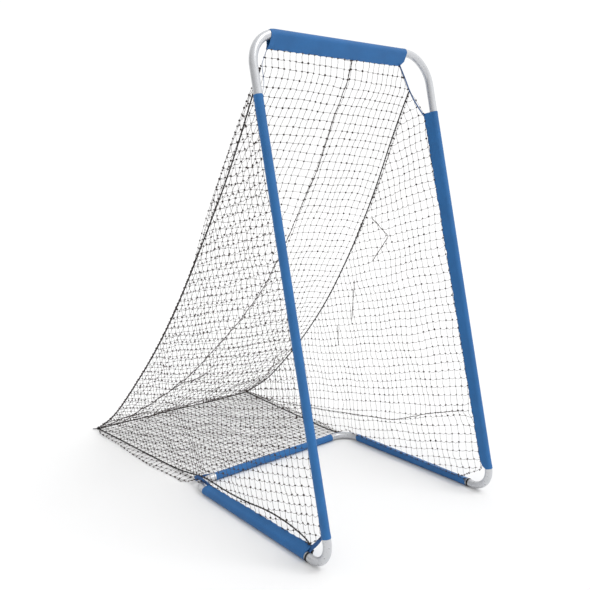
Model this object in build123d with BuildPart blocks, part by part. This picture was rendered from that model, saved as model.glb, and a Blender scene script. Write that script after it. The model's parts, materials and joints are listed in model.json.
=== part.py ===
"""Free-standing football kicking net: a closed loop of steel tube in plug-together sections,
fabric sleeves over its straight runs, and a ball-catching net held out behind it by edge ropes.

Millimetres. +X to the user's right, +Y from the open front towards the net, +Z up.
The origin is on the ground, at the centre of the space that the whole net covers.
"""
import math
import os

from build123d import *

# Frame: distances run between the points where the tube centrelines would meet.
frame_width = 1032.0
frame_front = -1045.0
leg_length = 2099.0
ground_length = 1008.0
leg_lean = 12.8
tube_diameter = 35.0
tube_wall = 1.2
top_bend_radius = 140.0
foot_bend_radius = 90.0
rear_bend_radius = 100.0

# Plug joints between tube sections, and the spring button that locks each one.
plug_length = 60.0
plug_clearance = 0.15
plug_wall = 1.2
neck_length = 10.0
shoulder_gap = 0.5
leg_joint_from_top = 430.0
leg_joint_from_foot = 670.0
ground_joint_from_foot = 480.0
button_diameter = 8.0
button_hole_clearance = 0.3
button_from_shoulder = 30.0
button_height = 4.0
button_dome = 1.0
spring_width = 8.0
spring_thickness = 0.8
spring_arm = 34.0
spring_gap = 0.5
spring_wall_gap = 0.4

# Fabric sleeves: close round the tube, with a flap towards the net.
sleeve_wall = 2.0
sleeve_gap = 0.3
flap_tip_radius = 2.8
top_sleeve_gap = 1.0
top_flap = 60.0
top_flap_tilt = 10.0
leg_sleeve_low_gap = {"left": 16.0, "right": 0.0}
leg_sleeve_high_gap = {"left": 112.0, "right": 130.0}
leg_flap_low = 34.0
leg_flap_high = 47.0
leg_flap_turn = 45.0
ground_sleeve_front_gap = 34.0
ground_sleeve_rear_gap = 2.0
ground_flap = 34.0
ground_flap_turn = 45.0
rear_sleeve_gap = 21.0
rear_flap = 34.0

# Net, ropes and binding tape.
net_thickness = 2.0
net_shoulder = 1900.0
net_ankle = 80.0
net_foot = 14.0
seam_gap = 1.0
rope_diameter = 6.0
tape_width = 20.0
tape_thickness = 1.6
tape_bend_radius = 20.0
tape_slack = 6.0
tape_height = 14.0
tape_rise = 10.0
knot_diameter = 18.0
ring_width = 10.0
ring_gap = 0.3
ring_thickness = 2.0
ring_from_sleeve = 6.0
front_knot_diameter = 14.0
front_knot_gap = 0.2
right_knot_drop = 23.4
side_net_clear = 15.0
floor_net_clear = 8.0

# Edge ropes, from the corner tape at the top down to the rear corner knot.
edge_rope_points = {
    "left": [(-462, -582, 1932), (-466, -505, 1785), (-474, -355, 1520), (-483, -180, 1268),
             (-492, -15, 1030), (-501, 150, 812), (-511, 345, 590), (-523, 550, 385),
             (-535, 755, 190), (-544, 905, 80), (-549, 1026, 13)],
    "right": [(445, -545, 1902), (452, -445, 1722), (460, -330, 1470), (470, -195, 1226),
              (481, -55, 1012), (491, 90, 808), (503, 255, 620), (516, 425, 450),
              (530, 615, 282), (542, 805, 126), (553, 1018, 13)],
}
# Ground ropes, from the rear corner knot to the binding ring at the front of the ground run.
ground_rope_points = {
    "left": [(-548, 1026, 4), (-532, 860, 3), (-519, 715, 3), (-507, 545, 3),
             (-490, 355, 3), (-476, 190, 4), (-470, 45, 26), (-478, -80, 56),
             (-484, -245, 55), (-483, -425, 62), (-483, -595, 86), (-482, -735, 84),
             (-482, -823, 70), (-483, -867, 60), (-492, -908, 43)],
    "right": [(552, 1018, 4), (538, 845, 3), (529, 655, 3), (519, 465, 3),
              (510, 275, 3), (500, 125, 5), (503, 35, 7), (528, -40, 8), (545, -115, 7),
              (543, -240, 8), (541, -370, 7), (543, -500, 8), (541, -640, 7), (543, -770, 8),
              (542, -850, 7), (541, -908, 9)],
}
rear_rope_points = [(-543, 1033, 4), (-390, 1036, 3), (-230, 1029, 3), (-70, 1034, 3),
                    (90, 1026, 3), (240, 1013, 3), (390, 1014, 3), (547, 1025, 4)]
corner_knot_points = {"left": (-549, 1031, 9), "right": (553, 1023, 9)}
net_heights = [1720, 1500, 1260, 1020, 800, 590, 390, 220, 150]

sides = {"left": -1, "right": 1}
tube_radius = tube_diameter / 2
tube_bore = tube_radius - tube_wall
plug_radius = tube_bore - plug_clearance
plug_bore = plug_radius - plug_wall
sleeve_bore = tube_radius + sleeve_gap
sleeve_radius = sleeve_bore + sleeve_wall
ground_height = sleeve_radius
lean = math.radians(leg_lean)
rope_radius = rope_diameter / 2
half_width = frame_width / 2

# Straight runs between the bends, measured from each ground corner, and the sleeves on them.
foot_reach = foot_bend_radius / math.tan(math.radians(90 - leg_lean) / 2)
ground_sleeve_start = foot_reach + ground_sleeve_front_gap
ground_sleeve_length = ground_length - rear_bend_radius - ground_sleeve_rear_gap
ground_sleeve_length -= ground_sleeve_start
leg_sleeve_start = {name: foot_reach + gap for name, gap in leg_sleeve_low_gap.items()}
leg_sleeve_end = {name: leg_length - top_bend_radius - gap
                  for name, gap in leg_sleeve_high_gap.items()}
top_sleeve_length = frame_width - 2 * (top_bend_radius + top_sleeve_gap)
rear_sleeve_length = frame_width - 2 * (rear_bend_radius + rear_sleeve_gap)

os.makedirs("parts", exist_ok=True)


def save(part, name):
    """Label one finished piece and write it."""
    part.label = name
    export_step(part, f"parts/{name}.step")


# Directions shared by the frame, its sleeves and the net.
leg_up = Vector(0, math.sin(lean), math.cos(lean))
leg_back = Vector(0, math.cos(lean), -math.sin(lean))
foot = {name: Vector(side * half_width, frame_front, ground_height)
        for name, side in sides.items()}
top = {name: foot[name] + leg_up * leg_length for name in sides}
rear = {name: foot[name] + Vector(0, ground_length, 0) for name in sides}
top_centre = (top["left"] + top["right"]) * 0.5
rear_centre = (rear["left"] + rear["right"]) * 0.5


def between(first, second, turn):
    """The direction that lies a number of degrees from the first direction towards the second."""
    angle = math.radians(turn)
    return first * math.cos(angle) + second * math.sin(angle)


inward = {name: Vector(-side, 0, 0) for name, side in sides.items()}
leg_flap_way = {name: between(inward[name], leg_back, leg_flap_turn) for name in sides}
ground_flap_way = {name: between(inward[name], Vector(0, 0, 1), ground_flap_turn) for name in sides}
top_flap_way = between(Vector(0, 0, -1), Vector(0, 1, 0), top_flap_tilt)
rear_flap_drop = math.asin((ground_height - flap_tip_radius) / (rear_flap - flap_tip_radius))
rear_flap_way = between(Vector(0, 1, 0), Vector(0, 0, -1), math.degrees(rear_flap_drop))

# Each joint: where the shoulders meet, the way the plug points and the way its button faces.
joints = {
    "top_centre": (top_centre, Vector(1, 0, 0), top_flap_way),
    "rear_centre": (rear_centre, Vector(1, 0, 0), rear_flap_way),
}
for name in sides:
    upper = top[name] - leg_up * leg_joint_from_top
    lower = foot[name] + leg_up * leg_joint_from_foot
    middle = foot[name] + Vector(0, ground_joint_from_foot, 0)
    joints[f"upper_leg_{name}"] = (upper, leg_up, leg_flap_way[name])
    joints[f"lower_leg_{name}"] = (lower, leg_up, leg_flap_way[name])
    joints[f"ground_{name}"] = (middle, Vector(0, 1, 0), ground_flap_way[name])


def joint_plane(joint, along=0.0):
    """A plane across the tube, some way along the plug, whose x axis faces out of the button."""
    point, way, out = joints[joint]
    return Plane(origin=point + way * along, x_dir=out, z_dir=way)


def plug_profile(joint):
    """Half the section of the swaged neck and plug that slide into the next section's bore."""
    face = joint_plane(joint)
    with BuildSketch(Plane(origin=face.origin, x_dir=face.x_dir, z_dir=face.y_dir * -1)) as profile:
        with BuildLine():
            Polyline((tube_bore, -neck_length), (tube_radius, -neck_length), (tube_radius, 0),
                     (plug_radius, 0), (plug_radius, plug_length - plug_wall / 2),
                     (plug_radius - plug_wall / 2, plug_length), (plug_bore, plug_length),
                     (plug_bore, -plug_wall), close=True)
        make_face()
    return profile.sketch


def button_hole(joint):
    """The outline of the hole that the joint's button comes out of, in plug and socket alike."""
    face = joint_plane(joint, button_from_shoulder)
    with BuildSketch(Plane(origin=face.origin, z_dir=face.x_dir)) as outline:
        Circle(button_diameter / 2 + button_hole_clearance)
    return outline.sketch


def tube_section(label, plugs, sockets, corner=None, bend_radius=None):
    """One section of the frame, from its first end to its last, round its corner if it has one."""
    plug_ends = [joints[joint][0] - joints[joint][1] * neck_length for joint in plugs]
    socket_ends = [joints[joint][0] + joints[joint][1] * shoulder_gap for joint in sockets]
    start, finish = plug_ends + socket_ends
    with BuildPart() as section:
        with BuildLine() as path:
            if corner:
                FilletPolyline(start, corner, finish, radius=bend_radius)
            else:
                Line(start, finish)
        across_tube = Plane(origin=path.line @ 0, z_dir=path.line % 0)
        with BuildSketch(across_tube):
            Circle(tube_radius)
        sweep(path=path.line)
        with BuildSketch(across_tube):
            Circle(tube_bore)
        sweep(path=path.line, mode=Mode.SUBTRACT)
        for joint in plugs:
            revolve(plug_profile(joint), axis=Axis(joints[joint][0], joints[joint][1]))
        for joint in plugs + sockets:
            extrude(button_hole(joint), amount=tube_diameter, mode=Mode.SUBTRACT)
    save(section.part, label)


# Tube sections
tube_section("top_corner_tube_left", ["top_centre"], ["upper_leg_left"], top["left"],
             top_bend_radius)
tube_section("top_corner_tube_right", [], ["upper_leg_right", "top_centre"], top["right"],
             top_bend_radius)
tube_section("rear_corner_tube_left", ["rear_centre"], ["ground_left"], rear["left"],
             rear_bend_radius)
tube_section("rear_corner_tube_right", [], ["ground_right", "rear_centre"], rear["right"],
             rear_bend_radius)
for name in sides:
    tube_section(f"leg_tube_{name}", [f"upper_leg_{name}"], [f"lower_leg_{name}"])
    tube_section(f"foot_tube_{name}", [f"lower_leg_{name}", f"ground_{name}"], [], foot[name],
                 foot_bend_radius)

# Spring buttons: the head and the strip that carries it move; the rest of the clip stays put.
strip_offset = math.sqrt(plug_bore ** 2 - (spring_width / 2) ** 2) - spring_wall_gap
clip_parts = []
for joint in joints:
    face = joint_plane(joint, button_from_shoulder)
    head_plane = Plane(origin=face.origin, x_dir=face.z_dir, z_dir=face.x_dir)
    strip_bottom = strip_offset - spring_thickness
    head_top = tube_radius + button_height
    with BuildPart() as button:
        with BuildSketch(head_plane.offset(strip_bottom)):
            Circle(button_diameter / 2)
        extrude(amount=head_top - strip_bottom)
        fillet(button.faces().sort_by(Axis(head_plane.origin, head_plane.z_dir))[-1].edges(),
               button_dome)
        with BuildSketch(head_plane.offset(strip_bottom)):
            with Locations((-spring_arm / 2 + button_diameter, 0)):
                Rectangle(spring_arm, spring_width)
        extrude(amount=spring_thickness)
    save(button.part, f"button_{joint}")

    bend_start = -spring_arm + button_diameter - spring_gap
    side_plane = Plane(origin=face.origin, x_dir=face.z_dir, z_dir=face.y_dir)
    bend_outer = strip_offset
    bend_inner = strip_offset - spring_thickness
    with BuildPart() as clip:
        with BuildSketch(side_plane):
            with BuildLine():
                Line((bend_start, bend_outer), (bend_start, bend_inner))
                ThreePointArc((bend_start, bend_inner), (bend_start - bend_inner, 0),
                              (bend_start, -bend_inner))
                Line((bend_start, -bend_inner), (button_diameter, -bend_inner))
                Line((button_diameter, -bend_inner), (button_diameter, -bend_outer))
                Line((button_diameter, -bend_outer), (bend_start, -bend_outer))
                ThreePointArc((bend_start, -bend_outer), (bend_start - bend_outer, 0),
                              (bend_start, bend_outer))
            make_face()
        extrude(amount=spring_width / 2, both=True)
    clip_parts.append(clip.part)
save(Compound(children=clip_parts), "button_springs")


def flap_section(plane, radius, flap, tip):
    """A round sleeve outline drawn out to a flap along the plane's x axis."""
    with BuildSketch(plane) as outline:
        Circle(radius)
        with Locations((flap - flap_tip_radius, 0)):
            Circle(tip)
        make_hull()
    return outline.sketch


def fabric_sleeve(label, start, way, length, flap_way, flap_start, flap_end):
    """A sleeve along one straight run, its flap tapering from one end to the other."""
    first = Plane(origin=start, x_dir=flap_way, z_dir=way)
    last = Plane(origin=start + way * length, x_dir=flap_way, z_dir=way)
    tip_bore = flap_tip_radius - sleeve_wall
    with BuildPart() as sleeve:
        loft([flap_section(first, sleeve_radius, flap_start, flap_tip_radius),
              flap_section(last, sleeve_radius, flap_end, flap_tip_radius)])
        loft([flap_section(first, sleeve_bore, flap_start, tip_bore),
              flap_section(last, sleeve_bore, flap_end, tip_bore)], mode=Mode.SUBTRACT)
    save(sleeve.part, label)


# Fabric sleeves
across = Vector(1, 0, 0)
fabric_sleeve("top_sleeve", top_centre - across * (top_sleeve_length / 2), across,
              top_sleeve_length, top_flap_way, top_flap, top_flap)
fabric_sleeve("rear_sleeve", rear_centre - across * (rear_sleeve_length / 2), across,
              rear_sleeve_length, rear_flap_way, rear_flap, rear_flap)
for name in sides:
    fabric_sleeve(f"leg_sleeve_{name}", foot[name] + leg_up * leg_sleeve_start[name], leg_up,
                  leg_sleeve_end[name] - leg_sleeve_start[name], leg_flap_way[name],
                  leg_flap_low, leg_flap_high)
    fabric_sleeve(f"ground_sleeve_{name}", foot[name] + Vector(0, ground_sleeve_start, 0),
                  Vector(0, 1, 0), ground_sleeve_length, ground_flap_way[name],
                  ground_flap, ground_flap)


def corner_radii(points):
    """As large a radius at each point of a cord's route as its two runs allow."""
    radii = []
    for before, here, after in zip(points, points[1:], points[2:]):
        arriving, leaving = Vector(*here) - Vector(*before), Vector(*after) - Vector(*here)
        half_turn = math.radians(arriving.get_angle(leaving)) / 2
        radii.append(0.45 * min(arriving.length, leaving.length) / math.tan(half_turn))
    return radii


def rope(label, points):
    """A rope's plain tube along its route."""
    radii = corner_radii(points)
    with BuildPart() as tube:
        with BuildLine() as path:
            FilletPolyline(*points, radius=radii)
        with BuildSketch(Plane(origin=path.line @ 0, z_dir=path.line % 0)):
            Circle(rope_radius)
        sweep(path=path.line)
    length = path.wire().length
    ratio = tube.part.volume / (math.pi * rope_radius ** 2 * length)
    print(label, "length", round(length), "smallest radius", round(min(radii)),
          "volume ratio", round(ratio, 4))
    save(tube.part, label)


# Ropes and the knots that join them at the rear corners
for name in sides:
    rope(f"edge_rope_{name}", edge_rope_points[name])
    rope(f"ground_rope_{name}", ground_rope_points[name])
rope("rear_rope", rear_rope_points)
for name in sides:
    with BuildPart() as knot:
        with Locations(corner_knot_points[name]):
            Sphere(knot_diameter / 2)
    save(knot.part, f"corner_knot_{name}")


# Rings and knots that bind the ground ropes' front ends to the bare tube
ring_radius = tube_radius + ring_gap + ring_thickness
knot_reach = ring_radius + front_knot_gap + front_knot_diameter / 2
knot_way = {"left": ground_flap_way["left"],
            "right": between(Vector(1, 0, 0), Vector(0, 0, -1), right_knot_drop)}
for name in sides:
    ring_back = foot[name] + Vector(0, ground_sleeve_start - ring_from_sleeve, 0)
    with BuildPart() as ring:
        with BuildSketch(Plane(origin=ring_back, z_dir=(0, -1, 0))):
            Circle(ring_radius)
            Circle(tube_radius + ring_gap, mode=Mode.SUBTRACT)
        extrude(amount=ring_width)
    save(ring.part, f"rope_ring_{name}")
    with BuildPart() as knot:
        with Locations(ring_back - Vector(0, ring_width / 2, 0) + knot_way[name] * knot_reach):
            Sphere(front_knot_diameter / 2)
    save(knot.part, f"front_knot_{name}")


def at_height(points, height):
    """The point where a falling route passes a height."""
    for (x1, y1, z1), (x2, y2, z2) in zip(points, points[1:]):
        if z2 <= height <= z1:
            share = (z1 - height) / (z1 - z2)
            return Vector(x1 + (x2 - x1) * share, y1 + (y2 - y1) * share, height)
    raise ValueError(f"the route never passes {height}")


def flap_tip(name, along_leg):
    """The tip of a leg sleeve's flap, some way up the leg from the ground corner."""
    run = leg_sleeve_end[name] - leg_sleeve_start[name]
    share = (along_leg - leg_sleeve_start[name]) / run
    flap = leg_flap_low + (leg_flap_high - leg_flap_low) * share
    return foot[name] + leg_up * along_leg + leg_flap_way[name] * flap


def leg_edge(name, height):
    """The point at a height where a side net starts, just off the leg sleeve's flap."""
    tip = flap_tip(name, (height - ground_height) / math.cos(lean))
    tip += leg_flap_way[name] * seam_gap
    return Vector(tip.X, tip.Y + (height - tip.Z) * math.tan(lean), height)


def level_strip(first, last, thickness_way):
    """A thin level strip of net between two points at one height."""
    with BuildSketch(Plane.XY.offset(first.Z)) as strip:
        with BuildLine():
            Polyline((first.X, first.Y), (last.X, last.Y),
                     (last.X + thickness_way.X, last.Y + thickness_way.Y),
                     (first.X + thickness_way.X, first.Y + thickness_way.Y), close=True)
        make_face()
    return strip.sketch


# Back net, from the top sleeve's flap down to the rear rope
rope_clear = across * (rope_radius + seam_gap + net_thickness / 2)
band_edge = top_centre + top_flap_way * (top_flap + seam_gap)
band_reach = across * (top_sleeve_length / 2 - tape_width)
back_way = Vector(0, -net_thickness * math.sqrt(2), 0)
back_strips = [level_strip(band_edge - band_reach, band_edge + band_reach, back_way)]
for height in [net_shoulder, *net_heights, net_ankle, net_foot]:
    left_point = at_height(edge_rope_points["left"], height) + rope_clear
    right_point = at_height(edge_rope_points["right"], height) - rope_clear
    back_strips.append(level_strip(left_point, right_point, back_way))
with BuildPart() as net_back:
    loft(back_strips, ruled=True)
save(net_back.part, "net_back")

# Side nets, from the leg sleeves back to the edge ropes and down to the ground
flap_top = ground_height + ground_flap * math.sin(math.radians(ground_flap_turn)) + seam_gap
for name in sides:
    points = edge_rope_points[name]
    thickness_way = inward[name] * net_thickness
    to_rope = Vector(0, -side_net_clear, 0)
    strips = [level_strip(leg_edge(name, height), at_height(points, height) + to_rope,
                          thickness_way) for height in net_heights]
    low_front = leg_edge(name, flap_top)
    low_front = Vector(low_front.X, frame_front + ground_sleeve_start + 2 * tape_width, flap_top)
    low_back = at_height(points, flap_top) + to_rope
    strips.append(level_strip(low_front, low_back, thickness_way))
    skirt_start = rear_centre.Y + rear_bend_radius / 2
    behind_frame = (skirt_start - low_front.Y) / (low_back.Y - low_front.Y)
    skirt_front = low_front + (low_back - low_front) * behind_frame
    foot_front = Vector(skirt_front.X, skirt_front.Y, net_foot)
    foot_back = at_height(points, net_foot) + to_rope * 2
    with BuildPart() as net_side:
        loft(strips, ruled=True)
        loft([level_strip(skirt_front, low_back, thickness_way),
              level_strip(foot_front, foot_back, thickness_way)], ruled=True)
    save(net_side.part, f"net_{name}")

# Floor net, lying between the ground ropes from the rear sleeve's flap to the rear rope
floor_front = rear_centre.Y + rear_flap_way.Y * (rear_flap - flap_tip_radius)
floor_front += flap_tip_radius + seam_gap
floor_sides = {}
for name, side in sides.items():
    lying = [(x, y) for x, y, z in ground_rope_points[name][1:] if z < rope_diameter]
    floor_sides[name] = [(x - side * floor_net_clear, y) for x, y in lying]
floor_back = [(x, y - floor_net_clear) for x, y, z in rear_rope_points[1:-1]]
front_reach = half_width - rear_bend_radius / 2 - floor_net_clear
with BuildPart() as net_floor:
    with BuildSketch():
        with BuildLine():
            Polyline((-front_reach, floor_front), *reversed(floor_sides["left"]), *floor_back,
                     *floor_sides["right"], (front_reach, floor_front), close=True)
        make_face()
    extrude(amount=net_thickness)
save(net_floor.part, "net_floor")


def tape(label, points, width_way):
    """Flat binding tape along a few points, its width facing one way."""
    with BuildPart() as strap:
        with BuildLine() as path:
            FilletPolyline(*points, radius=tape_bend_radius)
        with BuildSketch(Plane(origin=path.line @ 0, x_dir=width_way, z_dir=path.line % 0)):
            Rectangle(tape_width, tape_thickness)
        sweep(path=path.line)
    save(strap.part, label)


# Binding tapes across the corners
back, up = Vector(0, 1, 0), Vector(0, 0, 1)
for name, side in sides.items():
    band_end = band_edge + across * side * (top_sleeve_length / 2)
    tape(f"corner_tape_top_{name}",
         [band_end, edge_rope_points[name][0], flap_tip(name, leg_sleeve_end[name])], back)
    ground_end = foot[name] + back * (ground_sleeve_start + ground_sleeve_length)
    ground_end += ground_flap_way[name] * ground_flap
    rear_end = rear_centre + across * side * (rear_sleeve_length / 2)
    rear_end = Vector(rear_end.X, floor_front, tape_height)
    if name == "left":
        past_bend = Vector(ground_end.X, rear_centre.Y, ground_end.Z + tape_rise)
        outside = Vector(-half_width + tape_width, rear_centre.Y + 2 * tape_width, tape_height)
        tape("corner_tape_rear_left", [ground_end, past_bend, outside, rear_end], up)
sleeve_end = foot["right"] + back * (ground_sleeve_start + ground_sleeve_length)
bend_centre = rear["right"] - (across + back) * rear_bend_radius
bend_reach = rear_bend_radius + sleeve_radius + tape_slack
behind_bend = [bend_centre + between(across, back, turn) * bend_reach for turn in (30, 60)]
tape("corner_tape_rear_right",
     [sleeve_end + across * (sleeve_radius + tape_thickness), *behind_bend, rear_end], up)
leg_end = flap_tip("left", leg_sleeve_start["left"])
front_end = foot["left"] + back * ground_sleeve_start + ground_flap_way["left"] * ground_flap
tape_middle = (leg_end + front_end) * 0.5 - (back + up) * tape_slack
tape("corner_tape_foot_left", [leg_end, tape_middle, front_end], back)
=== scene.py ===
"""Football kicking net: sleeves, tapes, ropes, knotted nets and finishes round the fixed frame.

Metres. +X to the user's right, +Y from the open front towards the net, +Z up.
"""
import bisect
import json
import math
import random

import bpy
import numpy as np
from bpy.props import FloatProperty, FloatVectorProperty, IntProperty, PointerProperty
from mathutils import Matrix, Vector, noise
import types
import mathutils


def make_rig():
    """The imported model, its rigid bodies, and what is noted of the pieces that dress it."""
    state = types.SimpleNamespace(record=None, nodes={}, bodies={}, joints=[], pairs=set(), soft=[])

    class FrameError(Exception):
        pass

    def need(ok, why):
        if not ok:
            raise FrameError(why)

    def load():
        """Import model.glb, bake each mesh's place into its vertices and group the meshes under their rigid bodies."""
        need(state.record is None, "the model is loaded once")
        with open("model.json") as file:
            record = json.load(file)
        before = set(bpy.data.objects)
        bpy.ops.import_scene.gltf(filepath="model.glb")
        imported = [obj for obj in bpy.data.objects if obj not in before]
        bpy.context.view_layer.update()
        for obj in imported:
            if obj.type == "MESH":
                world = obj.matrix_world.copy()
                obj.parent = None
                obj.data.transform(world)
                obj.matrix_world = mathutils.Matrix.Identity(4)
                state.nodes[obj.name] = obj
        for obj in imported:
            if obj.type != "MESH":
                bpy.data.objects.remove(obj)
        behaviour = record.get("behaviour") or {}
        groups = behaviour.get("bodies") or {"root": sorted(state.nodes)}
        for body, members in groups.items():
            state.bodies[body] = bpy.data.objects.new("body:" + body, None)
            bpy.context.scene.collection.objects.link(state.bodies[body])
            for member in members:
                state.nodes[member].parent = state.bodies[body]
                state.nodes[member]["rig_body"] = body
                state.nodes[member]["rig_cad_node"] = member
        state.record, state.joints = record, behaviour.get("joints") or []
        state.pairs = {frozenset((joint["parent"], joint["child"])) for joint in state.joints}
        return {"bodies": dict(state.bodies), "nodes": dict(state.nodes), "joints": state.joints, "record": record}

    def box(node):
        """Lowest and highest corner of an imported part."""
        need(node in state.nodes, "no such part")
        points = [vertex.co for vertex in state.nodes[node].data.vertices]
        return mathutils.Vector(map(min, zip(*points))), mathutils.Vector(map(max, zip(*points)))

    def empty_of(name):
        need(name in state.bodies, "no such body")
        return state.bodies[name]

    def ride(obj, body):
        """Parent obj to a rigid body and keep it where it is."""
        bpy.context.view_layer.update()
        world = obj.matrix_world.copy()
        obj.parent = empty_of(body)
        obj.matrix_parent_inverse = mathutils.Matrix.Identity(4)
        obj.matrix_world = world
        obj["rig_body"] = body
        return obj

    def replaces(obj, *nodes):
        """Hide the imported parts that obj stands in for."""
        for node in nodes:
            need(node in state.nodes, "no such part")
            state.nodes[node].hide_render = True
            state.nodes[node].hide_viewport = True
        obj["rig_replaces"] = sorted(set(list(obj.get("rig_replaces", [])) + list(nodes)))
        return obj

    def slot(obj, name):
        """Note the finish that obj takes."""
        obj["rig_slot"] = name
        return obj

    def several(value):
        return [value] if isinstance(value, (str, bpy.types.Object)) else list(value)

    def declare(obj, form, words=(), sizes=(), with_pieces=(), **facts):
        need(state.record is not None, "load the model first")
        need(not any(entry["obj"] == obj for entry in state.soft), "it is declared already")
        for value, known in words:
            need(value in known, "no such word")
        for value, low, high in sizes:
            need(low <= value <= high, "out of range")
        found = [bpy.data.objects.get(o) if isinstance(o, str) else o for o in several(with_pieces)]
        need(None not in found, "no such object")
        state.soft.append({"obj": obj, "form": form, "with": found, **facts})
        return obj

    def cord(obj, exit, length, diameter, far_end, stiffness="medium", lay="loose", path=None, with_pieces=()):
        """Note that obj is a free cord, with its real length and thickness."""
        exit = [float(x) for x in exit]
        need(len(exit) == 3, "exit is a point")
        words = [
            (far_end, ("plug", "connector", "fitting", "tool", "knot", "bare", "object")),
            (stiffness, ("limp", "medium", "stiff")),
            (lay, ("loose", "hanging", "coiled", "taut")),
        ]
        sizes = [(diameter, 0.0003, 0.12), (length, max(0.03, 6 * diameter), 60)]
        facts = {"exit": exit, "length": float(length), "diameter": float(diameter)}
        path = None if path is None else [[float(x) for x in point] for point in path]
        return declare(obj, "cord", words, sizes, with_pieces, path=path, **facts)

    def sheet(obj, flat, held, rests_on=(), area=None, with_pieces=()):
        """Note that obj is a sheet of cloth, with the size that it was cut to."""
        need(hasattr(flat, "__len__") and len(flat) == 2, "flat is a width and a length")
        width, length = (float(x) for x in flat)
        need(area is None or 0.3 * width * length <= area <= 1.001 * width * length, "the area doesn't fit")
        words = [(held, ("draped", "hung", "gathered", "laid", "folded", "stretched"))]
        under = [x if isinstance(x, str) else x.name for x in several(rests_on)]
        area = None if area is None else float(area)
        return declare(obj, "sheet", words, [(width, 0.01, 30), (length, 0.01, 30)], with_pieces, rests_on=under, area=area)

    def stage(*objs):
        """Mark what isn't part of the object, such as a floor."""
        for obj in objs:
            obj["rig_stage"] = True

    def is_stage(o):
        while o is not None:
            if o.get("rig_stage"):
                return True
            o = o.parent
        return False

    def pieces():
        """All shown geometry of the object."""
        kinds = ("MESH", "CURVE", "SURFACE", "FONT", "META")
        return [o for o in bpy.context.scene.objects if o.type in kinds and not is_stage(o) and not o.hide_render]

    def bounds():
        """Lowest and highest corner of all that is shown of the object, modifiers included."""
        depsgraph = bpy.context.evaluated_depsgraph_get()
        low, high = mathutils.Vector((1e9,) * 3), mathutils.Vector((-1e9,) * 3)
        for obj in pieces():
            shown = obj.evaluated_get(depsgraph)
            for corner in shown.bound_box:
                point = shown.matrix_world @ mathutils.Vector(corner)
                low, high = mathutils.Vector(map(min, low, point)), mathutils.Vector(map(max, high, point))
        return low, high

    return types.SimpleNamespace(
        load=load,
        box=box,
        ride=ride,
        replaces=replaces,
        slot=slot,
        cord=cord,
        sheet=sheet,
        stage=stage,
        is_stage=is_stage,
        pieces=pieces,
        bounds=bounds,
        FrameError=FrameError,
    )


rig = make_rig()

bl_info = {
    "name": "Football Kicking Net",
    "version": (1, 0, 0),
    "blender": (4, 5, 0),
    "location": "View3D > Sidebar > Kicking Net",
    "description": "Builds the cloth, ropes, nets and finishes of a football kicking net",
    "category": "Object",
}

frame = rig.load()
CAD_BOX = [list(corner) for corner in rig.bounds()]
SIDES = {"left": -1, "right": 1}
BODY = "frame"

# Places worked out from the frame's own pieces.
LEAN = math.radians(12.8)
TUBE_RADIUS = (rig.box("leg_tube_left")[1].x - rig.box("leg_tube_left")[0].x) / 2
SLEEVE_RADIUS = (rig.box("rope_ring_left")[0].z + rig.box("rope_ring_left")[1].z) / 2
HALF_WIDTH = (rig.box("leg_tube_right")[0].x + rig.box("leg_tube_right")[1].x) / 2
LEG_UP = Vector((0, math.sin(LEAN), math.cos(LEAN)))
LEG_BACK = Vector((0, math.cos(LEAN), -math.sin(LEAN)))
ACROSS, BACK, UP = Vector((1, 0, 0)), Vector((0, 1, 0)), Vector((0, 0, 1))
TOP_CENTRE = Vector((0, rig.box("top_corner_tube_left")[1].y - TUBE_RADIUS,
                     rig.box("top_corner_tube_left")[1].z - TUBE_RADIUS))
LEG_LENGTH = (TOP_CENTRE.z - SLEEVE_RADIUS) / math.cos(LEAN)
REAR_CENTRE = Vector((0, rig.box("rear_corner_tube_left")[1].y - TUBE_RADIUS, SLEEVE_RADIUS))
FOOT = {name: Vector((side * HALF_WIDTH, TOP_CENTRE.y - LEG_LENGTH * math.sin(LEAN),
                      SLEEVE_RADIUS)) for name, side in SIDES.items()}

# Flaps: how far each reaches from the tube's centreline, and how far it turns.
FLAP_TIP = 0.0028
TOP_FLAP, REAR_FLAP, GROUND_FLAP = 0.060, 0.034, 0.034
LEG_FLAP_LOW, LEG_FLAP_HIGH = 0.034, 0.047
QUARTER = math.radians(45)
TOP_TILT = math.radians(10)

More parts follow.
